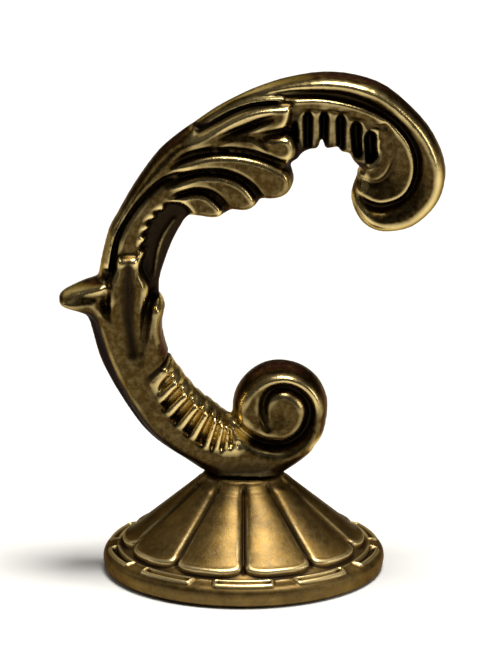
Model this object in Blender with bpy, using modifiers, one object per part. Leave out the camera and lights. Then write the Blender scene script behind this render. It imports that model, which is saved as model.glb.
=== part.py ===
"""Curtain holdback hook: a C-scroll acanthus arm keyed into a fluted rosette that screws on a wall plate."""

import math

import bpy
from mathutils import Matrix, Vector

# Driving dimensions, in millimetres. The wall is the plane z = 0 and the stud runs along +Z.
ROSETTE_R = 19.0  # rosette's rim radius
ROSETTE_H = 13.2  # wall to the joint line at the neck
NECK_R = 5.6  # radius at the joint line
RIM_H = 1.7  # straight edge of the rim
PETALS = 10  # petals, and as many rim cartouches
PETAL_RISE = 1.15  # how far a petal stands out of the cone
ROSETTE_WALL = 1.7  # casting wall
WEB_T = 3.3  # rosette's web under the arm's foot

ARM_H = 55.2  # joint line to the top of the tip scroll
ARM_DEPTH = 8.6  # thickness of the arm at the volute, along Y
DRAWN_H = 55.2  # height at which the arm's points below are drawn

PLATE_R = 15.4  # wall plate
PLATE_T = 2.0
SCREW_HOLE_R = 2.1  # holes for the wall screws
SCREW_HEAD_R = 4.0
SCREW_SPACING = 20.0  # hole to hole

STUD_R = 2.0  # M4 screw
STUD_HEAD_R = 3.8
STUD_GRIP = 8.2  # length of thread inside the arm
NUT_AF = 7.0
NUT_H = 3.2
LOCK_T = 0.8
FRICTION_T = 0.8
PUSH_T = 0.7
KEY_HALF = 3.4  # half side of the arm's square spigot
KEY_BELOW = 1.9  # how far the spigot reaches below the web
GAP = 0.3  # clearance between neighbouring pieces

# Heights that follow from the stack on the stud.
LOCK_Z = PLATE_T + GAP
NUT_Z = LOCK_Z + LOCK_T + GAP
FRICTION_Z = NUT_Z + NUT_H + GAP
WEB_Z = ROSETTE_H - WEB_T
SPIGOT_Z = max(FRICTION_Z + FRICTION_T + GAP, WEB_Z - KEY_BELOW)
STUD_TOP = SPIGOT_Z + STUD_GRIP

for old in list(bpy.data.objects):
    bpy.data.objects.remove(old, do_unlink=True)

PARTS = bpy.data.collections.new("curtain_holdback_hook")
CUTTERS = bpy.data.collections.new("cutters")
bpy.context.scene.collection.children.link(PARTS)
bpy.context.scene.collection.children.link(CUTTERS)


def material(name, colour, metallic, roughness):
    made = bpy.data.materials.new(name)
    made.use_nodes = True
    shader = made.node_tree.nodes["Principled BSDF"]
    shader.inputs["Base Color"].default_value = (*colour, 1.0)
    shader.inputs["Metallic"].default_value = metallic
    shader.inputs["Roughness"].default_value = roughness
    made.diffuse_color = (*colour, 1.0)
    return made


def mesh_object(name, mesh, collection):
    made = bpy.data.objects.new(name, mesh)
    collection.objects.link(made)
    if collection == CUTTERS:
        made.hide_render = True
        made.display_type = "WIRE"
    return made


def cleaned(mesh):
    """Double points of curve caps merged and normals made to face out."""
    import bmesh

    work = bmesh.new()
    work.from_mesh(mesh)
    bmesh.ops.remove_doubles(work, verts=work.verts, dist=1e-6)
    bmesh.ops.recalc_face_normals(work, faces=work.faces)
    work.to_mesh(mesh)
    work.free()
    return mesh


def from_curve(name, curve, collection):
    holder = bpy.data.objects.new(name + "_curve", curve)
    bpy.context.scene.collection.objects.link(holder)
    bpy.context.view_layer.update()
    graph = bpy.context.evaluated_depsgraph_get()
    mesh = bpy.data.meshes.new_from_object(holder.evaluated_get(graph))
    bpy.data.objects.remove(holder, do_unlink=True)
    return mesh_object(name, cleaned(mesh), collection)


def baked(item):
    """The object's modifiers and matrix put into its mesh."""
    bpy.context.view_layer.update()
    graph = bpy.context.evaluated_depsgraph_get()
    mesh = bpy.data.meshes.new_from_object(item.evaluated_get(graph))
    mesh.transform(item.matrix_world)
    item.modifiers.clear()
    item.matrix_world = Matrix.Identity(4)
    item.data = cleaned(mesh)
    return item


def combine(target, others, operation):
    for number, other in enumerate(others):
        step = target.modifiers.new(f"{operation.lower()}_{number}", "BOOLEAN")
        step.operation = operation
        step.solver = "EXACT"
        step.object = other
        baked(target)
    return target


def smooth(points, steps, closed=False):
    """Points along a Catmull-Rom curve through the given ones; every value is carried along."""
    count = len(points)
    spans = count if closed else count - 1
    found = []
    for i in range(spans):
        if closed:
            a, b, c, d = (points[(i + k) % count] for k in (-1, 0, 1, 2))
        else:
            a, b = points[max(i - 1, 0)], points[i]
            c, d = points[i + 1], points[min(i + 2, count - 1)]
        for step in range(steps):
            t = step / steps
            found.append(
                tuple(
                    0.5 * (2 * q + (r - p) * t + (2 * p - 5 * q + 4 * r - s) * t * t
                           + (3 * q - p - 3 * r + s) * t ** 3)
                    for p, q, r, s in zip(a, b, c, d)
                )
            )
    if not closed:
        found.append(tuple(points[-1]))
    return found


def on_arm(x, z):
    """A drawn point of the arm, scaled about the middle of the joint line."""
    size = ARM_H / DRAWN_H
    return x * size * 1e-3, (ROSETTE_H + (z - 13.2) * size) * 1e-3


def sweep(name, points, depth, steps=3, sides=2):
    """An oval bar through points (x, z, half width); depth is its half thickness along Y at its widest."""
    line = smooth(points, steps)
    curve = bpy.data.curves.new(name, "CURVE")
    curve.dimensions = "3D"
    curve.bevel_depth = 1e-3
    curve.bevel_resolution = sides
    curve.use_fill_caps = True
    curve.twist_mode = "Z_UP"
    spline = curve.splines.new("POLY")
    spline.points.add(len(line) - 1)
    size = ARM_H / DRAWN_H
    for point, (x, z, half) in zip(spline.points, line):
        px, pz = on_arm(x, z)
        point.co = (px, pz, 0.0, 1.0)
        point.radius = max(half, 0.12) * size
    made = from_curve(name, curve, CUTTERS)
    widest = max(half for _, _, half in line) * size
    flat = Matrix.Diagonal((1.0, 1.0, depth * ARM_DEPTH / 8.6 / widest, 1.0))
    made.data.transform(Matrix.Rotation(math.pi / 2, 4, "X") @ flat)
    cleaned(made.data)
    return made


def slab(name, outline, depth, round_edge, steps=2):
    """A flat casting body with a rounded edge inside the closed outline."""
    curve = bpy.data.curves.new(name, "CURVE")
    curve.dimensions = "2D"
    curve.fill_mode = "BOTH"
    curve.extrude = (depth * ARM_DEPTH / 8.6 - round_edge) * 1e-3
    curve.bevel_depth = round_edge * 1e-3
    curve.bevel_resolution = 1
    curve.offset = -round_edge * 1e-3
    spline = curve.splines.new("POLY")
    line = smooth(outline, steps, closed=True)
    spline.points.add(len(line) - 1)
    for point, (x, z) in zip(spline.points, line):
        px, pz = on_arm(x, z)
        point.co = (px, pz, 0.0, 1.0)
    spline.use_cyclic_u = True
    made = from_curve(name, curve, CUTTERS)
    made.data.transform(Matrix.Rotation(math.pi / 2, 4, "X"))
    cleaned(made.data)
    return made


def turned(name, profile, collection, steps=48):
    """A closed profile of (radius, z) turned about the stud's axis."""
    mesh = bpy.data.meshes.new(name)
    count = len(profile)
    mesh.from_pydata(
        [(r * 1e-3, 0.0, z * 1e-3) for r, z in profile],
        [(i, (i + 1) % count) for i in range(count) if profile[i][0] or profile[(i + 1) % count][0]],
        [],
    )
    made = mesh_object(name, mesh, collection)
    screw = made.modifiers.new("turn", "SCREW")
    screw.steps = steps
    screw.render_steps = steps
    screw.use_merge_vertices = True
    screw.merge_threshold = 1e-6
    return baked(made)


def prism(name, sides, radius, low, high, collection, turn=0.0):
    """An upright prism on the stud's axis; radius is to its corners."""
    import bmesh

    mesh = bpy.data.meshes.new(name)
    work = bmesh.new()
    bmesh.ops.create_cone(
        work, cap_ends=True, segments=sides, radius1=radius * 1e-3, radius2=radius * 1e-3,
        depth=(high - low) * 1e-3,
        matrix=Matrix.Translation((0, 0, (low + high) * 5e-4)) @ Matrix.Rotation(turn, 4, "Z"),
    )
    bmesh.ops.recalc_face_normals(work, faces=work.faces)
    work.to_mesh(mesh)
    work.free()
    return mesh_object(name, mesh, collection)


def finished(item, name, look):
    item.name = name
    item.data.name = name
    for collection in list(item.users_collection):
        collection.objects.unlink(item)
    PARTS.objects.link(item)
    item.hide_render = False
    item.display_type = "TEXTURED"
    item.data.materials.clear()
    item.data.materials.append(look)
    return item


SPIGOT_TURN = math.pi / 4  # a four-sided prism with its flats across X and Y


# ---------------------------------------------------------------- scroll arm

def build_arm():
    body = [
        (-5.2, 13.6), (-9.6, 17.6), (-14.4, 22.4), (-18.2, 28.4), (-20.0, 34.4), (-19.4, 39.6),
        (-18.3, 45.0), (-15.6, 51.6), (-11.4, 57.4), (-6.4, 61.8), (0.2, 65.2), (6.8, 67.0),
        (12.4, 67.0), (17.6, 65.2), (21.8, 61.0), (24.4, 57.2), (24.8, 54.2), (22.4, 51.2),
        (19.2, 50.0), (16.8, 52.4), (16.6, 57.0), (13.6, 58.6), (10.6, 60.2), (6.6, 60.0),
        (4.6, 57.6), (4.4, 54.6), (1.2, 53.0), (-0.6, 51.0), (-4.6, 50.2), (-8.2, 48.8),
        (-10.4, 45.0), (-12.4, 40.4), (-12.2, 34.0), (-10.4, 28.8), (-6.6, 24.4), (-2.0, 22.0),
        (4.0, 23.0), (9.4, 20.0), (8.2, 16.6), (5.3, 13.6),
    ]
    arm = slab("arm_body", body, 2.9, 1.2)
    adds = []
    # Foot on the rosette, and the bar that carries the volute.
    foot = turned("arm_foot", [(0.0, ROSETTE_H + GAP), (NECK_R - 0.1, ROSETTE_H + GAP),
                               (NECK_R, ROSETTE_H + 0.9), (NECK_R - 0.5, ROSETTE_H + 1.9),
                               (NECK_R - 1.6, ROSETTE_H + 4.0), (0.0, ROSETTE_H + 5.2)], CUTTERS, 32)
    foot.data.transform(Matrix.Diagonal((1.0, 0.86, 1.0, 1.0)))
    adds.append(foot)
    # Outer band of the lower arm, from the foot to the thorn.
    adds.append(sweep("band_low", [(-4.4, 14.6, 1.3), (-9.0, 17.9, 1.35), (-13.6, 22.2, 1.35),
                                   (-17.2, 27.4, 1.35), (-19.3, 33.2, 1.3), (-19.6, 38.0, 1.2)], 3.7))
    # Inner core of the lower arm, thick where the cross ribs sit.
    adds.append(sweep("core_low", [(2.0, 16.6, 3.2), (-3.6, 18.6, 3.2), (-8.6, 22.6, 3.3), (-12.4, 27.4, 3.2),
                                   (-15.0, 33.0, 3.1), (-15.6, 39.0, 2.9), (-14.0, 45.0, 2.8),
                                   (-11.0, 51.0, 2.8)], 4.0, steps=2))
    # Cross ribs on the inner slope of the lower arm.
    ribs = [((-1.2, 17.3), (-2.0, 21.8)), ((-2.9, 16.9), (-3.2, 22.2)), ((-5.1, 17.6), (-4.7, 23.2)),
            ((-7.2, 19.1), (-5.8, 24.3)), ((-9.0, 20.6), (-7.0, 25.4)), ((-10.5, 22.5), (-8.2, 26.9)),
            ((-11.7, 24.4), (-9.3, 28.4)), ((-12.7, 26.5), (-10.2, 30.2))]
    for number, ((x0, z0), (x1, z1)) in enumerate(ribs):
        middle = ((x0 + x1) / 2, (z0 + z1) / 2, 0.85)
        adds.append(sweep(f"rib_{number}", [(x0, z0, 0.45), middle, (x1, z1, 0.6)], 4.5, steps=2, sides=1))
    # Volute: a round boss, its spiral roll and the eye.
    centre_x, centre_z = 4.9, 22.3
    volute = prism("volute", 32, 6.2 * ARM_H / DRAWN_H, -3.5, 3.5, CUTTERS)
    cx, cz = on_arm(centre_x, centre_z)
    volute.data.transform(Matrix.Translation((cx, 0, cz)) @ Matrix.Rotation(math.pi / 2, 4, "X")
                          @ Matrix.Diagonal((1.0, 1.0, ARM_DEPTH / 8.6, 1.0)))
    adds.append(volute)
    roll = []
    for step in range(12):
        angle = math.radians(215 - 30 * step)
        out = 5.25 - 0.06 * step
        roll.append((centre_x + out * math.cos(angle), centre_z + out * math.sin(angle), 1.25))
    adds.append(sweep("volute_roll", roll, 4.3, steps=1))
    adds.append(sweep("volute_eye", [(5.2, 19.4, 0.9), (5.3, 21.0, 1.9), (5.4, 23.2, 1.9), (5.3, 24.8, 0.9)], 4.9))
    # Thorn and the calyx leaves that wrap the arm.
    adds.append(sweep("thorn", [(-24.2, 38.3, 0.35), (-22.6, 38.2, 1.1), (-20.6, 38.2, 2.0),
                                (-18.4, 37.6, 2.8)], 3.3))
    adds.append(sweep("calyx_left", [(-15.6, 27.0, 0.7), (-18.0, 32.0, 1.5), (-18.9, 36.4, 1.6),
                                     (-18.8, 39.8, 0.8)], 4.5))
    adds.append(sweep("calyx_middle", [(-14.6, 29.6, 0.7), (-15.2, 34.0, 1.5), (-15.3, 39.0, 1.9),
                                       (-15.3, 43.6, 1.0)], 4.9))
    adds.append(sweep("calyx_right", [(-13.2, 27.6, 0.6), (-12.8, 32.0, 1.2), (-12.0, 35.4, 1.2),
                                      (-11.0, 37.4, 0.5)], 4.2))
    # Limb: outer band up and over to the tip scroll, and the inner band beside it.
    adds.append(sweep("band_high", [(-19.2, 41.4, 0.8), (-18.2, 45.0, 1.1), (-15.8, 50.6, 1.2),
                                    (-11.8, 56.6, 1.2), (-6.8, 61.1, 1.2), (0.4, 64.9, 1.25), (7.0, 66.9, 1.3),
                                    (12.6, 66.9, 1.35), (18.0, 64.9, 1.4), (22.3, 61.0, 1.4),
                                    (24.9, 57.0, 1.5), (25.1, 54.0, 1.5), (23.0, 51.1, 1.5),
                                    (19.2, 49.0, 1.5), (16.9, 49.9, 1.3), (15.9, 52.2, 0.9)], 3.9, steps=2))
    adds.append(sweep("limb_inner", [(-15.8, 42.8, 1.0), (-14.8, 46.6, 1.4), (-12.6, 51.0, 1.6),
                                     (-9.6, 55.0, 1.5)], 4.0))
    for number, (x, z) in enumerate([(-13.3, 43.6), (-12.6, 45.4), (-11.7, 47.2), (-10.6, 48.9), (-9.3, 50.4)]):
        adds.append(sweep(f"tooth_{number}", [(x - 1.6, z + 0.8, 0.9), (x, z, 0.75), (x + 0.9, z - 0.5, 0.35)],
                          3.6, steps=1, sides=1))
    # Tip scroll: two inner turns and the comb of ribs behind them.
    adds.append(sweep("scroll_middle", [(5.6, 64.4, 0.8), (10.4, 64.8, 1.0), (14.2, 64.2, 1.0), (18.0, 62.6, 1.0),
                                        (20.8, 59.9, 1.0), (21.7, 56.4, 1.0), (20.8, 53.6, 0.95),
                                        (18.2, 52.6, 0.9), (16.4, 54.0, 0.7)], 3.6, steps=2))
    adds.append(sweep("scroll_inner", [(17.2, 61.6, 0.8), (18.9, 59.0, 0.95), (18.9, 56.6, 0.95),
                                       (17.2, 55.4, 0.9), (15.9, 56.4, 0.6)], 3.3, steps=2))
    for number, (x, low) in enumerate([(7.5, 57.6), (9.5, 58.4), (11.6, 58.7), (13.5, 57.7), (15.4, 57.2)]):
        adds.append(sweep(f"comb_{number}", [(x - 0.3, 64.0, 0.8), (x, 61.0, 0.85), (x + 0.2, low + 0.5, 0.6)],
                          3.1, steps=1, sides=1))
    # Leaf: rounded fingers that fan out of the limb and overlap like feathers.
    adds.append(sweep("leaf_a", [(-8.4, 58.4, 0.7), (-5.0, 60.6, 1.2), (-1.0, 62.2, 1.4), (3.0, 63.0, 1.4),
                                 (5.4, 62.8, 1.0)], 4.5, steps=2))
    adds.append(sweep("leaf_a2", [(-9.4, 56.8, 0.7), (-5.6, 58.8, 1.1), (-1.0, 59.8, 1.3), (3.0, 59.3, 1.4),
                                  (5.4, 58.4, 0.9)], 4.2, steps=2))
    adds.append(sweep("leaf_b", [(-10.6, 54.6, 0.8), (-6.6, 56.4, 1.4), (-2.4, 56.7, 1.7), (1.6, 55.6, 1.8),
                                 (4.8, 53.8, 1.2)], 4.8, steps=2))
    adds.append(sweep("leaf_c", [(-11.0, 52.6, 0.8), (-7.2, 54.0, 1.2), (-3.6, 53.8, 1.5), (-1.0, 52.4, 1.5),
                                 (0.6, 51.2, 0.8)], 4.5, steps=2))
    adds.append(sweep("leaf_d", [(-11.4, 50.6, 0.8), (-8.4, 51.6, 1.2), (-5.6, 51.2, 1.3), (-3.4, 50.4, 0.8)],
                      4.1, steps=2))
    # Square spigot that keys into the rosette.
    key = prism("arm_key", 4, KEY_HALF * math.sqrt(2), SPIGOT_Z, ROSETTE_H + 2.2, CUTTERS, SPIGOT_TURN)
    adds.append(key)
    arm = combine(baked(arm), adds, "UNION")
    tapped = prism("arm_hole", 24, STUD_R + GAP, SPIGOT_Z - 1.0, STUD_TOP + 1.0, CUTTERS)
    arm = combine(arm, [tapped], "DIFFERENCE")
    return finished(arm, "scroll_arm", material("antique_brass_arm", (0.36, 0.25, 0.12), 1.0, 0.38))


# ------------------------------------------------------------------- rosette

def cone_z(radius):
    """Height of the rosette's cone at a radius, under its petals."""
    share = (ROSETTE_R - radius) / (ROSETTE_R - NECK_R)
    return RIM_H + (ROSETTE_H - 1.2 - RIM_H) * share ** 0.98


def build_rosette():
    shell = turned("rosette_cone", [
        (0.0, ROSETTE_H), (NECK_R, ROSETTE_H), (NECK_R + 0.1, ROSETTE_H - 0.9),
        (NECK_R + 1.2, cone_z(NECK_R + 1.2)), (ROSETTE_R * 0.62, cone_z(ROSETTE_R * 0.62)),
        (ROSETTE_R * 0.80, cone_z(ROSETTE_R * 0.80)), (ROSETTE_R * 0.94, RIM_H + 1.1),
        (ROSETTE_R - 0.15, RIM_H + 0.3), (ROSETTE_R, RIM_H - 0.3), (ROSETTE_R, 0.25),
        (ROSETTE_R - 0.25, 0.0), (0.0, 0.0)], CUTTERS, 60)
    adds = []
    top = Vector((NECK_R - 0.4, 0, ROSETTE_H - 1.1))
    end = Vector((ROSETTE_R * 0.755, 0, cone_z(ROSETTE_R * 0.755) + 0.15))
    fall = math.atan2(top.z - end.z, end.x - top.x)
    length = (end - top).length
    for number in range(PETALS):
        turn = 2 * math.pi * (number + 0.5) / PETALS
        curve = bpy.data.curves.new("petal", "CURVE")
        curve.dimensions = "3D"
        curve.bevel_depth = 1e-3
        curve.bevel_resolution = 2
        curve.use_fill_caps = True
        spline = curve.splines.new("POLY")
        shares = (0.0, 0.25, 0.5, 0.75, 0.88, 0.96, 1.0)
        spline.points.add(len(shares) - 1)
        for point, share in zip(spline.points, shares):
            radius = top.x + share * (end.x - top.x)
            half = radius * math.tan(math.pi / PETALS) * 1.06
            round_end = math.sqrt(max(1 - max((share - 0.72) / 0.30, 0) ** 2, 0.02))
            point.co = (share * length * 1e-3, 0, 0, 1)
            point.radius = half * round_end
        petal = from_curve("petal", curve, CUTTERS)
        widest = end.x * math.tan(math.pi / PETALS)
        flat = Matrix.Diagonal((1.0, 1.0, 1.45 * PETAL_RISE / widest, 1.0))
        petal.data.transform(Matrix.Rotation(turn, 4, "Z") @ Matrix.Translation(top * 1e-3)
                             @ Matrix.Rotation(fall, 4, "Y") @ flat)
        adds.append(cleaned_object(petal))
    frame_r = ROSETTE_R * 0.905
    frame_tilt = math.radians(40)
    cuts = []
    for number in range(PETALS):
        turn = 2 * math.pi * number / PETALS - math.pi / 2
        place = (Matrix.Rotation(turn, 4, "Z") @ Matrix.Translation((frame_r * 1e-3, 0, (RIM_H + 1.15) * 1e-3))
                 @ Matrix.Rotation(frame_tilt, 4, "Y"))
        wide = 2 * math.pi * frame_r / PETALS
        adds.append(bar("cartouche", place, 2.2, wide * 0.76, 1.3, 0.5))
        cuts.append(bar("recess", place @ Matrix.Translation((0, 0, 0.75e-3)), 0.9, wide * 0.62, 1.0, 0.3))
    shell = combine(shell, adds, "UNION")
    inner_top = WEB_Z
    hollow = turned("rosette_hollow", [
        (0.0, -1.0), (ROSETTE_R - ROSETTE_WALL - 0.6, -1.0), (ROSETTE_R - ROSETTE_WALL - 0.6, RIM_H - 0.2),
        (ROSETTE_R * 0.78, cone_z(ROSETTE_R * 0.78) - ROSETTE_WALL * 1.25),
        (ROSETTE_R * 0.55, cone_z(ROSETTE_R * 0.55) - ROSETTE_WALL * 1.30),
        (KEY_HALF * 1.42 + PUSH_R_EXTRA + GAP + 0.2, inner_top), (0.0, inner_top)], CUTTERS, 60)
    hole = prism("rosette_hole", 4, (KEY_HALF + GAP) * math.sqrt(2), WEB_Z - 1, ROSETTE_H + 1, CUTTERS, SPIGOT_TURN)
    shell = combine(shell, cuts + [hollow, hole], "DIFFERENCE")
    return finished(shell, "rosette", material("antique_brass_rosette", (0.42, 0.30, 0.16), 1.0, 0.42))


def cleaned_object(item):
    cleaned(item.data)
    return item


def bar(name, place, along, across, high, corner):
    """A small rounded block, centred on its place."""
    import bmesh

    mesh = bpy.data.meshes.new(name)
    work = bmesh.new()
    bmesh.ops.create_cube(work, size=1.0, matrix=Matrix.Diagonal((along * 1e-3, across * 1e-3, high * 1e-3, 1.0)))
    edges = [e for e in work.edges if abs((e.verts[0].co - e.verts[1].co).z) > 1e-6]
    bmesh.ops.bevel(work, geom=edges, offset=corner * 1e-3, segments=1, affect="EDGES", profile=0.5)
    bmesh.ops.recalc_face_normals(work, faces=work.faces)
    work.to_mesh(mesh)
    work.free()
    mesh.transform(place)
    return mesh_object(name, mesh, CUTTERS)


PUSH_R_EXTRA = 1.1  # push washer's rim outside the spigot's corners


# ---------------------------------------------------------------- small parts

def build_push_washer():
    high = WEB_Z - GAP
    low = high - PUSH_T
    ring = turned("push_ring", [(0.0, low), (KEY_HALF * 1.42 + PUSH_R_EXTRA, low + 0.12),
                                (KEY_HALF * 1.42 + PUSH_R_EXTRA, high), (0.0, high)], CUTTERS, 40)
    hole = prism("push_hole", 4, (KEY_HALF + GAP) * math.sqrt(2), low - 1, high + 1, CUTTERS, SPIGOT_TURN)
    ring = combine(ring, [hole], "DIFFERENCE")
    return finished(ring, "push_washer", material("spring_steel_dark", (0.18, 0.18, 0.19), 1.0, 0.35))


def build_friction_washer():
    low, high = SPIGOT_Z - GAP - FRICTION_T, SPIGOT_Z - GAP
    ring = turned("friction_ring", [(STUD_R + GAP, low), (STUD_R + 2.6, low), (STUD_R + 2.6, high),
                                    (STUD_R + GAP, high)], CUTTERS, 36)
    return finished(ring, "friction_washer", material("nylon_natural", (0.80, 0.78, 0.70), 0.0, 0.5))


def build_wall_plate():
    head = STUD_HEAD_R + GAP
    plate = turned("plate_disc", [
        (STUD_R + GAP, PLATE_T), (STUD_R + GAP, PLATE_T - 0.15), (head, PLATE_T - 0.15 - (head - STUD_R - GAP)),
        (head, 0.0), (PLATE_R - 0.25, 0.0), (PLATE_R, 0.25), (PLATE_R, PLATE_T - 0.25),
        (PLATE_R - 0.25, PLATE_T)], CUTTERS, 60)
    cuts = []
    for side in (-1, 1):
        cut = turned("screw_hole", [(0.0, -1.0), (SCREW_HOLE_R, -1.0), (SCREW_HOLE_R, PLATE_T - SCREW_HEAD_R
                                    + SCREW_HOLE_R), (SCREW_HEAD_R + 1.0, PLATE_T + 1.0), (0.0, PLATE_T + 1.0)],
                     CUTTERS, 24)
        cut.data.transform(Matrix.Translation((side * SCREW_SPACING * 5e-4, 0, 0)))
        cuts.append(cut)
    plate = combine(plate, cuts, "DIFFERENCE")
    return finished(plate, "wall_plate", material("zinc_plated_steel", (0.60, 0.60, 0.58), 1.0, 0.35))


def build_centre_stud():
    fall = STUD_HEAD_R - STUD_R
    base = PLATE_T - 0.15 - GAP - fall * 0.98
    base = max(min(base, 0.25), 0.05)
    stud = turned("stud_turned", [
        (0.0, base), (STUD_HEAD_R - 0.05, base), (STUD_HEAD_R, base + 0.12), (STUD_R, base + 0.12 + fall),
        (STUD_R, STUD_TOP - 0.4), (STUD_R - 0.4, STUD_TOP), (0.0, STUD_TOP)], CUTTERS, 32)
    slot = bar("stud_slot", Matrix.Translation((0, 0, (base + 0.3) * 1e-3)), 3 * STUD_HEAD_R, 1.0, 1.4, 0.2)
    stud = combine(stud, [slot], "DIFFERENCE")
    return finished(stud, "centre_stud", material("bright_steel", (0.55, 0.55, 0.55), 1.0, 0.3))


def build_stud_nut():
    corner = NUT_AF / math.sqrt(3)
    nut = prism("nut_hex", 6, corner, NUT_Z, NUT_Z + NUT_H, CUTTERS, math.pi / 6)
    dome = turned("nut_round", [(0.0, NUT_Z), (corner - 0.45, NUT_Z), (corner + 0.05, NUT_Z + 0.3),
                                (corner + 0.05, NUT_Z + NUT_H - 0.3), (corner - 0.45, NUT_Z + NUT_H),
                                (0.0, NUT_Z + NUT_H)], CUTTERS, 36)
    nut = combine(nut, [dome], "INTERSECT")
    hole = prism("nut_hole", 24, STUD_R + GAP, NUT_Z - 1, NUT_Z + NUT_H + 1, CUTTERS)
    nut = combine(nut, [hole], "DIFFERENCE")
    return finished(nut, "stud_nut", material("zinc_plated_nut", (0.62, 0.62, 0.60), 1.0, 0.32))


def build_lock_washer():
    inner, outer = STUD_R + GAP, STUD_R + 1.8
    ring = turned("lock_ring", [(inner, LOCK_Z), (outer, LOCK_Z), (outer, LOCK_Z + LOCK_T),
                                (inner, LOCK_Z + LOCK_T)], CUTTERS, 36)
    split = bar("lock_split", Matrix.Translation((0.0, -(inner + outer) * 5e-4, (LOCK_Z + LOCK_T / 2) * 1e-3))
                @ Matrix.Rotation(math.radians(35), 4, "Y"), 0.5, 3.0, 3.0, 0.05)
    ring = combine(ring, [split], "DIFFERENCE")
    return finished(ring, "lock_washer", material("spring_steel_split", (0.40, 0.40, 0.41), 1.0, 0.35))


def hang(pieces, axis_name):
    """Pieces that turn together hang from one empty on the stud's axis."""
    pivot = bpy.data.objects.new(axis_name, None)
    PARTS.objects.link(pivot)
    for piece in pieces:
        piece.parent = pivot
    return pivot


wall_side = [build_wall_plate(), build_centre_stud(), build_lock_washer(), build_stud_nut()]
washer = build_friction_washer()
hook_side = [build_rosette(), build_push_washer(), build_arm()]
rise = hang([washer], "hook_rise_axis")
turn_axis = hang(hook_side, "hook_turn_axis")
turn_axis.parent = rise
for item in list(CUTTERS.objects):
    bpy.data.objects.remove(item, do_unlink=True)
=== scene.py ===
"""Looks of the curtain holdback hook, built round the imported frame."""
import math

import bpy
import numpy as np
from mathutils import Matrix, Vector


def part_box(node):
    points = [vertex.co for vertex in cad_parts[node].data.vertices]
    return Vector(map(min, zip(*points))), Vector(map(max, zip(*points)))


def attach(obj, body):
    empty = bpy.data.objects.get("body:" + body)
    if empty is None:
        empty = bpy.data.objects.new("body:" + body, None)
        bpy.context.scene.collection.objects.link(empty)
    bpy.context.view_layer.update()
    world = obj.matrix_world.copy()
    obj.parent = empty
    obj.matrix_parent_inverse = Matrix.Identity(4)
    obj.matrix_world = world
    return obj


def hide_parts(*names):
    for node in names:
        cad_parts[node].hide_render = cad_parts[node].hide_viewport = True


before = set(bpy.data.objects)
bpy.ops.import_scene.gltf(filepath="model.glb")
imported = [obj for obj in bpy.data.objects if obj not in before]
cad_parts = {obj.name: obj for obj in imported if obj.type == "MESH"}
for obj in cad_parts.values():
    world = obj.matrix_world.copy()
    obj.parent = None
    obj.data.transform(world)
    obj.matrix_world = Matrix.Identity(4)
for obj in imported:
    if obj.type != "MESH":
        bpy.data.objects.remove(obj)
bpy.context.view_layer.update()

# Shapes are in millimetres here; mesh_piece turns them into metres.
CELL = 0.1  # spacing of the arm's relief
SKIN_EVERY = 2  # the arm's skin takes every second line of it
X_LOW, X_HIGH, Z_LOW, Z_HIGH = -26.0, 28.2, 7.45, 69.8  # reach of the relief
HALF_DEPTH = 5.6  # reach of the arm's skin to front and back
NECK_Z = 13.5  # underside of the arm's foot
SPIGOT_HALF, SPIGOT_LOW, SPIGOT_HIGH = 3.4, 8.0, 16.0  # square spigot below the foot
HOLE_RADIUS, HOLE_TOP = 2.3, 17.2  # hole up into the foot


# ------------------------------------------------------------ lines and fields

def spline(points, per, closed=False):
    """A Catmull-Rom line through rows of numbers; every column is carried along."""
    p = np.asarray(points, float)
    n = len(p)
    rows = []
    for i in range(n if closed else n - 1):
        if closed:
            a, b, c, d = p[i - 1], p[i], p[(i + 1) % n], p[(i + 2) % n]
        else:
            a, b, c, d = p[max(i - 1, 0)], p[i], p[i + 1], p[min(i + 2, n - 1)]
        for t in np.arange(per) / per:
            rows.append(0.5 * (2 * b + (c - a) * t + (2 * a - 5 * b + 4 * c - d) * t ** 2
                               + (3 * b - a - 3 * c + d) * t ** 3))
    if not closed:
        rows.append(p[-1])
    return np.array(rows)


def nearest(x, z, line):
    """Signed distance from a line, positive on its left, and the place along it."""
    best = np.full(x.shape, 1e9)
    place = np.zeros(x.shape)
    side = np.ones(x.shape)
    for i in range(len(line) - 1):
        ax, az = line[i, :2]
        bx, bz = line[i + 1, :2] - line[i, :2]
        u = np.clip(((x - ax) * bx + (z - az) * bz) / (bx * bx + bz * bz + 1e-12), 0, 1)
        dx, dz = x - ax - u * bx, z - az - u * bz
        d2 = dx * dx + dz * dz
        nearer = d2 < best
        best = np.where(nearer, d2, best)
        place = np.where(nearer, i + u, place)
        side = np.where(nearer, bx * dz - bz * dx, side)
    return np.sqrt(best) * np.where(side < 0, -1.0, 1.0), place


def inside(x, z, ring):
    """Which points lie in a closed ring."""
    found = np.zeros(x.shape, bool)
    for (ax, az), (bx, bz) in zip(ring, np.roll(ring, -1, axis=0)):
        if az != bz:
            found ^= ((z >= min(az, bz)) & (z < max(az, bz))
                      & (x < ax + (z - az) * (bx - ax) / (bz - az)))
    return found


def rounding(d, reach):
    """A quarter round: 0 at the edge, 1 from reach inwards."""
    return np.sqrt(1 - (1 - np.minimum(d / reach, 1)) ** 2)


def blurred(field, sigma):
    """The field smoothed over sigma millimetres."""
    reach = max(1, int(3 * sigma / CELL))
    kernel = np.exp(-0.5 * (np.arange(-reach, reach + 1) * CELL / sigma) ** 2)
    kernel /= kernel.sum()
    for axis in (0, 1):
        rim = [(reach, reach) if a == axis else (0, 0) for a in (0, 1)]
        padded = np.pad(field, rim, mode="edge")
        size = field.shape[axis]
        field = sum(k * np.take(padded, range(j, j + size), axis) for j, k in enumerate(kernel))
    return field


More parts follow.
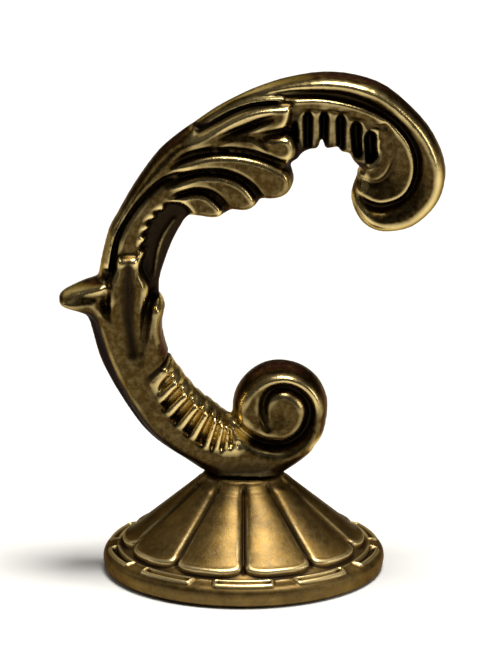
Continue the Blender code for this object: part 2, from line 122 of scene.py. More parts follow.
class Relief:
    """Half thickness of a casting over its parting plane, built up by regions, ridges and cuts."""

    def __init__(self):
        self.xs = np.arange(X_LOW, X_HIGH, CELL)
        self.zs = np.arange(Z_LOW, Z_HIGH, CELL)
        self.x, self.z = np.meshgrid(self.xs, self.zs, indexing="ij")
        self.h = np.zeros(self.x.shape)

    def near(self, line, reach):
        """The part of the grid within reach of a line."""
        low, high = line[:, :2].min(0) - reach, line[:, :2].max(0) + reach
        i = np.searchsorted(self.xs, [low[0], high[0]])
        k = np.searchsorted(self.zs, [low[1], high[1]])
        return slice(i[0], i[1]), slice(k[0], k[1])

    def zone(self, line, width, power=6):
        """1 along a line, falling to 0 beyond width on either side."""
        return np.exp(-(nearest(self.x, self.z, line)[0] / width) ** power)

    def stroke(self, points, floor, lean=0.0, flat=2.0, per=4, cut=False):
        """A ridge along points (x, z, half width, height). lean moves its crest to the left of the
        line (or the right, if negative) and lets the other side fall slowly; flat squares it. With
        cut it is a trench whose sides come up to floor."""
        line = spline(points, per)
        at = self.near(line, line[:, 2].max() + 0.3)
        s, t = nearest(self.x[at], self.z[at], line)
        steps = np.arange(len(line))
        u = s / np.maximum(np.interp(t, steps, line[:, 2]), 1e-3)
        top = np.interp(t, steps, line[:, 3])
        ease = np.clip((len(line) - 1 - t) / (0.2 * len(line)), 0, 1)
        c = lean * ease
        v = np.clip(np.abs(u - c) / np.where(u > c, 1 - c, 1 + c), 0, 1)
        even = np.sqrt(1 - v ** flat)
        slow = (1 - 0.55 * v ** 1.4) * np.sqrt(1 - v ** 8)
        on_slope = (u < c) if lean > 0 else (u > c)
        p = np.where(on_slope & (lean != 0), even + (slow - even) * ease, even)
        on = np.abs(u) < 1
        if cut:
            new = top + (floor - top) * v ** flat
            self.h[at] = np.where(on, np.minimum(self.h[at], new), self.h[at])
        else:
            new = floor + (top - floor) * p
            self.h[at] = np.where(on, np.maximum(self.h[at], new), self.h[at])

    def pillow(self, outline, top, foot, reach, crest=None, fall=0.0, sharp=(), join=False, root=None):
        """A raised region that covers what is under it: top high, rounded down to foot over reach at
        its outline, and lower by fall for each millimetre from its crest line. The corners in sharp
        close the outline with straight sides. With join it only adds, and between the two points
        of root it grows out of what is there."""
        ring = spline(outline, 4, closed=not sharp)
        if sharp:
            ring = np.concatenate([ring, np.asarray(sharp, float)])
        at = self.near(ring, 0.1)
        x, z = self.x[at], self.z[at]
        d = np.abs(nearest(x, z, np.concatenate([ring, ring[:1]]))[0])
        high = np.full(x.shape, top)
        if crest:
            high = high - fall * np.abs(nearest(x, z, spline(crest, 4))[0])
        new = foot + (high - foot) * rounding(d, reach)
        if join:
            new = np.maximum(new, self.h[at])
        if root:
            (ax, az), (bx, bz) = root
            length = (bx - ax) ** 2 + (bz - az) ** 2
            grown = np.clip(((x - ax) * (bx - ax) + (z - az) * (bz - az)) / length, 0, 1)
            new = self.h[at] + (new - self.h[at]) * grown ** 2 * (3 - 2 * grown)
        self.h[at] = np.where(inside(x, z, ring), new, self.h[at])

    def groove(self, points, power=2.0):
        """A soft cut along points (x, z, half width, depth)."""
        line = spline(points, 4)
        at = self.near(line, line[:, 2].max() * 1.8 + 0.2)
        s, t = nearest(self.x[at], self.z[at], line)
        steps = np.arange(len(line))
        width = np.interp(t, steps, line[:, 2])
        deep = np.interp(t, steps, line[:, 3])
        self.h[at] -= deep * np.exp(-(np.abs(s) / width) ** power)


def skin(field, origin, cell):
    """A closed quad mesh where a 3-D field changes sign (positive inside), by surface nets."""
    solid = field > 0
    cells = tuple(n - 1 for n in field.shape)

    def corner(a, i, j, k):
        return a[i:i + cells[0], j:j + cells[1], k:k + cells[2]]

    corners = [(i, j, k) for i in (0, 1) for j in (0, 1) for k in (0, 1)]
    count = sum(corner(solid, *c).astype(np.int8) for c in corners)
    where = np.argwhere((count > 0) & (count < 8))
    total = np.zeros((len(where), 3))
    hits = np.zeros(len(where))
    value = {c: field[where[:, 0] + c[0], where[:, 1] + c[1], where[:, 2] + c[2]] for c in corners}
    for a in corners:
        for axis in range(3):
            if a[axis]:
                continue
            b = tuple(a[n] + (n == axis) for n in range(3))
            va, vb = value[a], value[b]
            cross = (va > 0) != (vb > 0)
            share = np.where(cross, va / np.where(cross, va - vb, 1), 0)
            point = np.tile(np.array(a, float), (len(where), 1))
            point[:, axis] += share
            total += point * cross[:, None]
            hits += cross
    points = (where + total / hits[:, None]) * cell + origin
    index = np.full(cells, -1, np.int32)
    index[tuple(where.T)] = np.arange(len(where))
    quads = []
    for axis in range(3):
        u, v = [n for n in range(3) if n != axis]
        lower = [slice(1, n - 1) for n in field.shape]
        upper = list(lower)
        lower[axis] = slice(0, field.shape[axis] - 1)
        upper[axis] = slice(1, field.shape[axis])
        a, b = solid[tuple(lower)], solid[tuple(upper)]
        at = np.argwhere(a != b)
        base = at + np.array([0 if n == axis else 1 for n in range(3)])
        leaves = a[tuple(at.T)]
        ring = []
        for du, dv in ((1, 1), (0, 1), (0, 0), (1, 0)):
            cell_at = base.copy()
            cell_at[:, u] -= du
            cell_at[:, v] -= dv
            ring.append(index[tuple(cell_at.T)])
        ring = np.stack(ring, 1)
        turn = leaves if axis != 1 else ~leaves
        ring[~turn] = ring[~turn][:, ::-1]
        quads.append(ring)
    return points, np.concatenate(quads)


def relaxed(points, quads, rounds, amount=0.5):
    """Each point moved part of the way to the middle of its neighbours."""
    ends = np.concatenate([quads[:, [i, (i + 1) % 4]] for i in range(4)])
    ends = np.concatenate([ends, ends[:, ::-1]])
    for step in range(rounds):
        total = np.zeros_like(points)
        for axis in range(3):
            total[:, axis] = np.bincount(ends[:, 0], points[ends[:, 1], axis], len(points))
        number = np.bincount(ends[:, 0], minlength=len(points))[:, None]
        points = points + amount * (total / number - points)
    return points


def angles(across):
    return np.arange(across) * 2 * math.pi / across


def around(theta, radius, z):
    """Points at the angles theta about Z; radius and z are numbers or arrays."""
    x, y = radius * np.cos(theta), radius * np.sin(theta)
    return np.stack([x, y, np.broadcast_to(z, x.shape)], -1)


def closed_faces(rows, across):
    """Quads over rings of points, with the last ring joined to the first."""
    a = np.arange(rows * across).reshape(rows, across)
    down = np.roll(a, -1, axis=0)
    return np.stack([a, down, np.roll(down, -1, axis=1), np.roll(a, -1, axis=1)], -1).reshape(-1, 4)


def mesh_piece(name, points_mm, faces, body, stands_for, material, values=None):
    mesh = bpy.data.meshes.new(name)
    mesh.from_pydata((np.asarray(points_mm) * 1e-3).tolist(), [],
                     faces.tolist() if isinstance(faces, np.ndarray) else faces)
    mesh.validate()
    for key, numbers in (values or {}).items():
        attribute = mesh.attributes.new(key, "FLOAT", "POINT")
        attribute.data.foreach_set("value", np.asarray(numbers, np.float32))
    mesh.polygons.foreach_set("use_smooth", [True] * len(mesh.polygons))
    mesh.materials.append(material)
    mesh.update()
    piece = bpy.data.objects.new(name, mesh)
    bpy.context.scene.collection.objects.link(piece)
    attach(piece, body)
    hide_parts(*stands_for)


# ------------------------------------------------------------------ materials

class Paint:
    """A material, with the few kinds of node that the looks are made of."""

    def __init__(self, name):
        self.made = bpy.data.materials.new(name)
        self.made.use_nodes = True
        self.nodes, self.links = self.made.node_tree.nodes, self.made.node_tree.links
        self.shader = self.nodes["Principled BSDF"]
        self.place = self.nodes.new("ShaderNodeTexCoord").outputs["Object"]

    def feed(self, socket, value):
        """Links a socket to a node's output, or sets it to a number or a colour."""
        if isinstance(value, bpy.types.NodeSocket):
            self.links.new(value, socket)
        else:
            socket.default_value = (*value, 1) if isinstance(value, tuple) else value

    def math(self, operation, a, b):
        item = self.nodes.new("ShaderNodeMath")
        item.operation = operation
        self.feed(item.inputs[0], a)
        self.feed(item.inputs[1], b)
        return item.outputs[0]

    def swing(self, value, amount):
        """A noise's departure from its middle, scaled."""
        return self.math("MULTIPLY", self.math("SUBTRACT", value, 0.5), amount)

    def noise(self, scale, detail, roughness=0.5):
        item = self.nodes.new("ShaderNodeTexNoise")
        item.inputs["Scale"].default_value = scale
        item.inputs["Detail"].default_value = detail
        item.inputs["Roughness"].default_value = roughness
        self.links.new(self.place, item.inputs["Vector"])
        return item.outputs["Fac"]

    def attribute(self, name):
        item = self.nodes.new("ShaderNodeAttribute")
        item.attribute_name = name
        return item.outputs["Fac"]

    def ramp(self, value, low, high, start=(0.0, 0.0, 0.0), end=(1.0, 1.0, 1.0)):
        item = self.nodes.new("ShaderNodeValToRGB")
        self.links.new(value, item.inputs["Fac"])
        first, last = item.color_ramp.elements
        first.position, first.color = low, (*start, 1)
        last.position, last.color = high, (*end, 1)
        return item.outputs["Color"]

    def blend(self, share, a, b):
        item = self.nodes.new("ShaderNodeMix")
        item.data_type = "RGBA"
        self.links.new(share, item.inputs["Factor"])
        self.feed(item.inputs[6], a)
        self.feed(item.inputs[7], b)
        return item.outputs[2]

    def bump(self, height, strength, distance):
        item = self.nodes.new("ShaderNodeBump")
        item.inputs["Strength"].default_value = strength
        item.inputs["Distance"].default_value = distance
        self.links.new(height, item.inputs["Height"])
        self.links.new(item.outputs["Normal"], self.shader.inputs["Normal"])


def mixed(a, b, share):
    """Colour a with a share of colour b in it."""
    return tuple((1 - share) * p + share * q for p, q in zip(a, b))


def brass(name, dark, body, bright, rough, mottle):
    """Antique brass: dark patina and painted shade in the hollows, rubbed metal and painted highlights on the
    ridges, mottled between.
    """
    paint = Paint(name)
    broad = paint.noise(330.0, 4.0, 0.6)
    fine = paint.noise(1300.0, 4.0, 0.65)
    grain = paint.noise(4200.0, 2.0)
    # The piece's own hollow values (patina and painted shade) and ridge values (wear and painted highlight),
    # broken up by the noise.
    patina_and_shade = paint.ramp(paint.math("ADD", paint.attribute("hollow"), paint.swing(fine, 0.5)), 0.12, 0.78)
    rubbed = paint.ramp(paint.math("ADD", paint.attribute("ridge"), paint.swing(broad, 0.6)), 0.30, 0.95)
    patches = paint.ramp(broad, 0.35, 0.70)
    specks = paint.ramp(fine, 0.42, 0.66)
    tone = paint.blend(patches, body, mixed(body, dark, mottle))
    tone = paint.blend(paint.math("MULTIPLY", specks, 0.2), tone, mixed(body, bright, 0.45))
    # Rubbed metal and painted highlights take the bright colour; patina and painted shade take the dark.
    tone = paint.blend(rubbed, tone, bright)
    tone = paint.blend(patina_and_shade, tone, dark)
    paint.feed(paint.shader.inputs["Base Color"], tone)
    paint.shader.inputs["Metallic"].default_value = 1.0
    paint.shader.inputs["Specular Tint"].default_value = (0.42, 0.33, 0.19, 1)
    paint.shader.inputs["Coat Weight"].default_value = 0.07
    paint.shader.inputs["Coat Roughness"].default_value = 0.3
    gloss = paint.math("ADD", paint.math("MULTIPLY", patina_and_shade, 0.22), rough)
    gloss = paint.math("ADD", gloss, paint.swing(fine, 0.16))
    gloss = paint.math("SUBTRACT", gloss, paint.math("MULTIPLY", rubbed, 0.08))
    paint.feed(paint.shader.inputs["Roughness"], gloss)
    height = paint.math("ADD", paint.math("MULTIPLY", fine, 0.7), paint.math("MULTIPLY", grain, 0.3))
    paint.bump(height, strength=0.35, distance=0.00012)
    return paint.made


def worn_metal(name, base, bright, rough, scale, metallic=1.0):
    """Plated or bare steel, or plastic: mottled colour, uneven gloss and a fine bump."""
    paint = Paint(name)
    paint.shader.inputs["Metallic"].default_value = metallic
    cloud = paint.noise(scale, 4.0)
    grain = paint.noise(scale * 9.0, 3.0)
    edges = paint.nodes.new("ShaderNodeNewGeometry").outputs["Pointiness"]
    colour = paint.ramp(cloud, 0.35, 0.68, base, bright)
    rubbed = tuple(min(1.0, c * 1.25) for c in bright)
    paint.feed(paint.shader.inputs["Base Color"], paint.blend(paint.ramp(edges, 0.50, 0.60), colour, rubbed))
    gloss = paint.nodes.new("ShaderNodeMapRange")
    gloss.inputs["To Min"].default_value = rough - 0.08
    gloss.inputs["To Max"].default_value = rough + 0.12
    paint.feed(gloss.inputs["Value"], grain)
    paint.feed(paint.shader.inputs["Roughness"], gloss.outputs["Result"])
    paint.bump(grain, strength=0.2, distance=0.00008)
    return paint.made


# ----------------------------------------------------------------- scroll arm

OUTER = [(-5.7, 13.5), (-8.1, 15.2), (-11.1, 17.2), (-13.3, 19.2), (-15.3, 21.9), (-17.7, 25.9),
         (-19.3, 29.3), (-20.2, 32.6), (-20.8, 34.6), (-21.7, 35.5), (-23.4, 36.2), (-24.5, 36.8),
         (-24.75, 37.6), (-24.0, 38.5), (-21.9, 39.5), (-19.9, 40.2), (-19.35, 41.1), (-19.0, 43.0),
         (-18.0, 46.9), (-16.9, 49.0), (-14.7, 52.9), (-11.9, 56.9), (-9.8, 59.0), (-6.9, 61.2), (-3.6, 63.5),
         (0.0, 65.4), (3.0, 66.6), (6.1, 67.5), (10.5, 68.15), (14.9, 67.75), (19.2, 66.1), (23.6, 62.1),
         (25.8, 58.8), (26.85, 55.4), (26.5, 52.2), (25.1, 49.7), (22.5, 47.5), (19.45, 46.8), (17.3, 47.1),
         (15.6, 48.3), (14.5, 50.4), (14.4, 52.3), (15.0, 54.1)]
INNER = [(15.5, 55.5), (14.5, 56.5), (14.0, 57.4), (13.0, 57.6), (12.4, 58.2), (11.3, 58.0), (10.8, 58.2),
         (10.35, 59.3), (9.9, 58.1), (9.0, 57.9), (8.0, 57.5), (7.1, 56.5), (6.3, 55.9), (6.6, 54.6),
         (6.65, 53.5), (6.0, 52.3), (5.0, 51.7), (3.8, 51.45), (2.5, 51.4), (1.8, 50.6), (0.8, 50.0),
         (-0.2, 49.85), (-1.5, 49.95), (-2.1, 49.4), (-3.1, 48.95), (-4.4, 48.85), (-6.3, 49.1), (-7.5, 48.7),
         (-8.4, 47.4), (-9.5, 45.3), (-10.5, 42.7), (-11.2, 40.3), (-11.3, 38.3), (-10.8, 37.2),
         (-10.55, 36.3), (-10.9, 34.3), (-10.7, 32.2), (-9.8, 29.3), (-8.5, 27.4), (-7.1, 25.5), (-5.6, 23.9),
         (-4.0, 22.7), (-2.4, 21.4), (-1.6, 21.5), (-1.35, 23.8), (-0.5, 25.6), (0.9, 27.1), (2.8, 28.15),
         (5.0, 28.45), (7.3, 28.0), (9.2, 26.9), (10.5, 25.4), (11.25, 23.5), (11.3, 21.6), (10.8, 18.9),
         (9.9, 17.2), (8.0, 15.2), (5.7, 13.5)]


def limb(r):
    """The back of the hook between thorn and crown, in two parts with a hollow beside them."""
    # Outer part, which runs on into the leaf.
    r.pillow([(-18.2, 39.0), (-17.6, 43.0), (-16.9, 46.3), (-15.5, 49.0), (-13.9, 51.3), (-12.2, 53.1),
              (-10.2, 54.6), (-8.0, 55.6), (-4.0, 56.0), (2.0, 55.0), (6.9, 56.6), (6.9, 59.0), (5.8, 60.6),
              (2.0, 62.0), (-3.0, 62.0), (-5.6, 60.6), (-6.6, 61.3), (-7.0, 63.4), (-13.0, 60.8),
              (-17.5, 54.0), (-20.5, 48.0), (-22.0, 39.0)], 3.8, 2.75, 1.3)
    # Inner part, with a toothed edge towards the hollow.
    teeth = [(-13.7, 42.6), (-13.0, 44.6), (-13.75, 44.95), (-12.75, 46.4), (-13.45, 46.8), (-12.2, 47.9),
             (-12.9, 48.3), (-11.4, 49.2), (-11.9, 49.7), (-10.4, 50.1), (-10.5, 50.9), (-9.0, 51.3)]
    r.pillow([(-7.0, 52.6), (-7.4, 55.4), (-8.9, 55.1), (-10.5, 54.3), (-12.3, 52.9), (-13.9, 51.1),
              (-15.4, 48.8), (-16.7, 46.2), (-17.3, 42.6)], 3.65, 2.4, 0.9, sharp=teeth)
    # Parting ridge beside the hollow.
    r.stroke([(-11.9, 40.6, 0.30, 1.9), (-11.4, 44.2, 0.32, 2.1), (-10.6, 46.5, 0.32, 2.1),
              (-9.2, 48.6, 0.28, 2.0)], 1.3, per=2)


def crown(r):
    """The outer roll over the top, and the turns of the tip scroll inside it, each a step lower."""
    r.pillow([(-11.5, 57.2), (-8.6, 59.6), (-6.8, 61.1), (-4.0, 62.85), (0.0, 64.9), (5.0, 65.95),
              (8.0, 66.2), (13.0, 65.85), (17.0, 64.4), (20.6, 61.8), (22.7, 58.8), (23.3, 56.4),
              (23.0, 54.0), (21.8, 51.8), (19.7, 50.5), (17.6, 50.2), (15.6, 51.2), (14.6, 53.0),
              (12.5, 52.0), (13.0, 47.0), (19.0, 44.5), (26.0, 47.0), (29.5, 54.0), (28.0, 61.0),
              (22.0, 67.5), (12.0, 71.0), (3.0, 69.5), (-6.0, 65.0), (-14.0, 59.0)], 4.0, 2.2, 2.5, join=True)
    # Comb: a slope that falls away from the second turn, with slots cut in it.
    r.pillow([(5.2, 64.9), (10.0, 65.2), (16.0, 64.3), (20.0, 61.0), (20.0, 56.0), (16.0, 54.5), (12.0, 55.5),
              (10.0, 57.0), (6.3, 54.0), (6.0, 60.0)], 3.2, 2.2, 0.5,
             crest=[(5.2, 63.9), (8.0, 64.1), (12.0, 63.9), (15.0, 63.0), (17.2, 61.5), (18.2, 59.0),
                    (17.6, 56.6), (16.0, 55.6)], fall=0.24)
    for x, lean, high, low, half in ((8.5, 0.0, 63.3, 58.4, 0.60), (10.65, 0.0, 63.3, 58.6, 0.56),
                                     (12.85, 0.2, 62.9, 58.4, 0.60), (14.9, 0.6, 62.0, 57.9, 0.75),
                                     (16.75, 0.8, 60.7, 56.9, 0.85), (6.75, 0.1, 62.0, 57.6, 0.36)):
        r.stroke([(x - lean * 0.2, high, 0.30, 2.2), (x, high - 0.6, half, 0.9),
                  (x, (high + low) / 2, half, 0.7), (x + lean * 0.3, low, half, 0.7)],
                 3.0, flat=3.0, cut=True)
    # Second turn.
    crest = [(4.6, 65.05), (8.0, 65.4), (10.5, 65.4), (13.0, 65.0), (15.0, 64.45), (17.0, 63.7), (19.0, 62.6),
             (20.6, 61.2), (21.9, 59.5), (22.6, 57.6), (22.8, 55.6), (22.4, 53.7), (21.4, 52.1), (19.8, 51.2),
             (17.9, 50.9), (16.2, 51.5), (14.6, 52.8)]
    r.pillow(crest + [(13.6, 54.6), (15.2, 54.8), (17.2, 54.0), (19.0, 54.9), (19.9, 57.2), (19.6, 59.3),
                      (18.6, 61.2), (17.2, 61.4), (16.4, 60.9), (15.9, 61.9), (15.0, 62.3), (14.0, 62.4),
                      (13.5, 63.1), (12.4, 63.2), (11.6, 63.4), (9.8, 63.4), (8.0, 63.5), (6.6, 63.0),
                      (4.6, 63.9)],
             3.6, 2.2, 0.6, crest=crest, fall=0.24)
    # Innermost turn, curling in to a small knob.
    crest = [(18.6, 62.0), (19.7, 60.6), (20.1, 58.9), (20.0, 57.2), (19.4, 55.5), (18.4, 54.3), (17.2, 53.9),
             (16.0, 54.3), (14.8, 55.4)]
    r.pillow(crest + [(15.4, 56.4), (16.6, 56.6), (17.6, 57.4), (18.0, 58.8), (17.9, 60.4)],
             3.3, 2.1, 0.55, crest=crest, fall=0.16)
    r.stroke([(16.1, 55.6, 0.5, 3.2), (16.8, 55.7, 0.55, 3.3), (17.5, 56.2, 0.4, 3.1)], 2.6, per=2)
    # Thin lip between the roll and the leaf.
    r.stroke([(-6.2, 61.3, 0.25, 2.4), (-4.6, 62.1, 0.34, 2.8), (-2.0, 63.55, 0.38, 3.0),
              (0.6, 64.5, 0.40, 3.1), (3.0, 64.95, 0.42, 3.3), (5.2, 65.1, 0.40, 3.4)], 1.9, lean=0.5)


def leaf(r):
    """The leaf's fingers, back to front. Each crest stands over the dark line above it."""
    crest = [(-8.8, 59.6), (-7.4, 59.9), (-6.0, 60.4), (-4.2, 61.4), (-2.4, 62.5), (-0.6, 63.4), (1.2, 64.0),
             (3.2, 64.35), (5.2, 64.45), (6.25, 64.35)]
    r.pillow(crest + [(6.35, 63.2), (5.9, 61.8), (4.9, 61.0), (3.0, 60.6), (1.0, 60.2), (-1.0, 59.4),
                      (-4.0, 58.6), (-9.0, 57.4),
                      (-11.5, 57.0)], 4.5, 2.8, 0.9, crest=crest, fall=0.12, join=True,
             root=((-10.0, 57.8), (-6.0, 59.6)))
    r.groove([(-3.4, 60.1, 0.25, 0.2), (-1.4, 60.9, 0.34, 1.1), (0.6, 61.55, 0.42, 1.6),
              (2.2, 62.3, 0.38, 1.3), (3.8, 62.95, 0.25, 0.5)], power=1.4)
    crest = [(-3.6, 59.5), (-1.9, 60.3), (0.0, 60.5), (1.2, 60.4), (2.2, 60.0), (3.4, 60.2), (5.2, 60.3),
             (6.3, 60.1), (6.8, 59.2)]
    r.pillow(crest + [(7.0, 58.2), (6.6, 57.3), (5.6, 56.8), (4.0, 56.6), (0.0, 57.4), (-4.0, 57.6),
                      (-9.5, 56.6), (-11.5, 56.6),
                      (-7.5, 58.6)], 4.3, 2.6, 0.8, crest=crest, fall=0.06, join=True,
             root=((-9.0, 57.6), (-3.0, 58.8)))
    r.groove([(1.4, 60.3, 0.2, 0.2), (2.3, 59.7, 0.3, 0.6), (2.9, 59.0, 0.3, 0.5), (3.3, 58.4, 0.2, 0.1)])
    crest = [(-10.6, 55.4), (-9.2, 56.5), (-8.0, 57.15), (-6.0, 57.85), (-4.0, 58.2), (-2.0, 58.25),
             (0.0, 58.05), (2.0, 57.6), (3.6, 57.0), (4.7, 56.4), (5.7, 55.8)]
    r.pillow(crest + [(6.7, 54.8), (7.0, 53.6), (6.4, 52.1), (5.0, 51.0), (3.0, 50.8), (1.4, 52.0),
                      (0.0, 53.4), (-2.0, 54.6), (-6.0, 55.0), (-9.0, 54.4), (-11.2, 54.0)],
             4.75, 2.0, 1.1, crest=crest, fall=0.12, root=((-11.0, 54.8), (-7.0, 56.4)))
    crest = [(-10.6, 53.4), (-9.2, 54.1), (-8.0, 54.7), (-6.5, 55.25), (-5.0, 55.45), (-3.0, 55.35),
             (-1.5, 54.95), (-0.2, 54.3), (0.8, 53.4)]
    r.pillow(crest + [(1.6, 52.3), (1.95, 51.2), (1.4, 49.6), (-0.4, 49.0), (-2.4, 49.8), (-4.0, 51.2),
                      (-5.0, 52.2), (-7.5, 52.4), (-10.6, 51.9)],
             4.5, 1.8, 1.0, crest=crest, fall=0.12, root=((-11.0, 53.0), (-7.6, 54.2)))
    crest = [(-10.8, 51.4), (-9.4, 51.9), (-8.2, 52.5), (-7.0, 52.85), (-5.6, 52.85), (-4.5, 52.45),
             (-3.5, 51.6), (-2.7, 50.7)]
    r.pillow(crest + [(-2.5, 49.9), (-3.2, 48.6), (-5.0, 48.2), (-6.8, 48.8), (-7.4, 50.0), (-8.2, 50.7),
                      (-9.6, 50.9), (-10.8, 50.6)],
             4.15, 1.4, 0.9, crest=crest, fall=0.10, root=((-11.0, 51.2), (-8.0, 52.0)))
    # The cut under each finger's edge.
    for line in ([(-9.6, 56.5, 0.20, 0.14), (-8.0, 57.45, 0.26, 0.5), (-5.5, 58.3, 0.30, 0.65),
                  (-2.0, 58.6, 0.30, 0.72), (1.5, 58.1, 0.32, 0.72), (4.2, 57.1, 0.34, 0.72),
                  (6.0, 56.2, 0.34, 0.65)],
                 [(-10.6, 53.9, 0.22, 0.29), (-8.6, 54.8, 0.26, 0.58), (-6.2, 55.6, 0.30, 0.72),
                  (-3.0, 55.7, 0.32, 0.79), (-0.8, 55.0, 0.36, 0.86), (0.9, 53.8, 0.42, 0.94),
                  (2.2, 52.2, 0.42, 0.86)],
                 [(-8.6, 52.6, 0.20, 0.29), (-6.6, 53.15, 0.28, 0.65), (-4.6, 52.9, 0.32, 0.79),
                  (-3.2, 51.9, 0.38, 0.86), (-2.1, 50.5, 0.42, 0.79)],
                 [(-6.6, 60.6, 0.22, 0.22), (-4.4, 61.7, 0.26, 0.5), (-1.6, 63.2, 0.28, 0.58),
                  (1.2, 64.3, 0.26, 0.5), (4.0, 64.7, 0.24, 0.43), (6.4, 64.75, 0.24, 0.43)],
                 [(2.4, 60.4, 0.24, 0.36), (4.0, 60.6, 0.30, 0.72), (5.6, 60.8, 0.34, 0.86),
                  (6.8, 60.5, 0.34, 0.72)]):
        r.groove(line)


def calyx(r):
    """The stem from the foot up to the thorn, and the leaves that grow from it."""
    # Stem, set in from a narrow flange along its outer side.
    r.pillow([(-2.0, 11.5), (-6.6, 14.2), (-9.8, 16.6), (-12.3, 19.0), (-14.6, 22.2), (-16.8, 26.2),
              (-18.3, 29.8), (-19.4, 33.0), (-20.4, 35.2), (-22.8, 35.3), (-25.6, 36.0), (-25.6, 38.0),
              (-22.6, 39.0), (-18.4, 39.4), (-17.9, 37.0), (-14.0, 38.0), (-8.0, 36.0), (-7.0, 27.0),
              (0.0, 20.0), (3.0, 12.0)],
             4.4, 1.6, 3.0)
    # Thorn: the curled tip of the outer leaf, with a rounded ridge along its top.
    r.stroke([(-18.3, 38.9, 1.9, 4.5), (-20.2, 38.7, 1.7, 4.2), (-22.2, 38.3, 1.3, 3.5),
              (-23.8, 37.9, 1.0, 2.8), (-25.0, 37.6, 0.7, 2.2)], 1.2, lean=-0.45, flat=1.7)
    # Middle leaf, folded along its middle, with a square top.
    r.pillow([(-16.5, 44.0), (-17.1, 42.2), (-17.8, 40.6), (-18.2, 39.0), (-18.1, 36.8), (-17.4, 33.0),
              (-16.4, 29.0), (-14.6, 26.0), (-13.9, 29.0), (-13.5, 33.0), (-13.0, 36.6), (-12.6, 39.2),
              (-13.0, 40.6), (-13.7, 42.0), (-13.9, 44.0)], 4.95, 3.0, 1.3, join=True,
             root=((-15.0, 31.0), (-15.5, 38.5)))
    r.groove([(-15.25, 43.2, 0.50, 0.2), (-15.3, 42.0, 0.80, 0.6), (-15.4, 39.6, 1.15, 1.2),
              (-15.45, 37.2, 1.15, 1.2), (-15.2, 34.2, 0.95, 0.9), (-14.9, 31.0, 0.70, 0.35)], power=2.0)
    # Leaflet on the inner side.
    r.pillow([(-13.2, 26.4), (-13.7, 29.6), (-13.4, 33.0), (-12.9, 35.6), (-12.5, 36.9), (-11.4, 37.9),
              (-10.2, 38.2), (-9.2, 36.0), (-9.6, 33.0), (-10.4, 31.2), (-11.6, 29.6), (-12.0, 27.6)],
             4.6, 3.0, 1.1, join=True, root=((-12.9, 27.5), (-12.2, 34.0)))
    r.groove([(-12.2, 38.6, 0.50, 0.7), (-12.8, 36.8, 0.55, 0.9), (-13.2, 34.4, 0.55, 0.85),
              (-13.5, 31.8, 0.50, 0.6), (-13.8, 29.4, 0.40, 0.2)], power=1.8)
    r.groove([(-18.3, 41.6, 0.45, 1.0), (-18.3, 39.8, 0.45, 0.7), (-18.15, 38.2, 0.4, 0.35),
              (-18.0, 36.8, 0.3, 0.1)],
             power=1.8)


def ribs(r):
    """Nine ribs down the inner slope. Gives how far each point is from a rib, in half widths."""
    away = np.full(r.h.shape, 9.0)
    # The inner slope falls away, and ribs run down it, each with a rounded outer end.
    r.stroke([(-9.6, 26.8, 1.6, 3.0), (-9.2, 25.7, 2.4, 2.9), (-8.1, 24.0, 2.8, 2.7),
              (-6.5, 22.3, 2.8, 2.7), (-5.0, 20.9, 2.8, 2.7), (-3.4, 19.8, 2.6, 2.7), (-2.0, 19.3, 2.2, 2.8),
              (-1.1, 18.9, 1.4, 3.0)], 4.3, flat=6.0, cut=True)
    for low, high, half in (((-12.0, 26.4), (-8.9, 29.7), 0.80), ((-11.1, 24.5), (-7.5, 28.1), 0.82),
                            ((-10.0, 22.5), (-6.2, 26.5), 0.84), ((-8.5, 20.6), (-5.0, 25.1), 0.84),
                            ((-6.8, 19.1), (-3.9, 24.3), 0.78), ((-5.0, 17.7), (-3.1, 23.4), 0.62),
                            ((-3.6, 17.5), (-2.4, 22.6), 0.54), ((-2.4, 17.0), (-1.9, 21.6), 0.46),
                            ((-1.1, 17.4), (-1.2, 20.4), 0.46)):
        (x0, z0), (x1, z1) = low, high
        beyond = (x1 * 1.35 - x0 * 0.35, z1 * 1.35 - z0 * 0.35)
        along = ((r.x - x0) * (x1 - x0) + (r.z - z0) * (z1 - z0)) / ((x1 - x0) ** 2 + (z1 - z0) ** 2)
        local = half * (1 - 0.3 * np.clip(along, 0, 1.35))
        away = np.minimum(away, nearest(r.x, r.z, np.array([low, beyond]))[0] / local)
        r.stroke([(x0, z0, half, 4.6), (x0 * 0.6 + x1 * 0.4, z0 * 0.6 + z1 * 0.4, 0.88 * half, 4.45),
                  (x1, z1, 0.7 * half, 4.2), (*beyond, 0.6 * half, 4.0)], 2.6, flat=4.5, per=3)
    return away


def volute(r):
    """The roll at the foot: one thick coil whose dark line runs in to the eye."""
    eye_x, eye_z = 4.85, 22.6
    d = np.hypot(r.x - eye_x, r.z - eye_z)
    disc = 4.4 + 0.4 * np.clip((r.x + 0.5) / 5, 0, 1) - 0.4 * np.clip((2.4 - d) / 2.4, 0, 1)
    on = (d < 7.0) | ((r.z < 18.5) & (r.x > -0.5) & (r.x < 9.5))
    r.h = np.where(on & (r.x > -1.9), np.maximum(disc, r.h * (r.x < 0)), r.h)
    coil = [(-2.0, 22.4, 0.65, 2.08), (-1.35, 21.2, 0.65, 2), (-0.2, 19.7, 0.65, 2), (1.8, 18.4, 0.67, 2),
            (4.2, 17.85, 0.69, 2), (6.2, 18.2, 0.71, 1.92), (7.9, 19.5, 0.73, 1.92), (8.85, 21.5, 0.76, 1.92),
            (8.8, 23.4, 0.76, 1.84), (7.8, 24.9, 0.73, 1.76), (6.3, 25.8, 0.71, 1.68), (4.8, 25.9, 0.67, 1.6),
            (3.4, 25.2, 0.63, 1.44), (2.7, 23.8, 0.56, 1.28), (2.7, 22.2, 0.50, 1.04),
            (3.2, 20.6, 0.41, 0.64)]
    r.groove(coil, power=1.5)


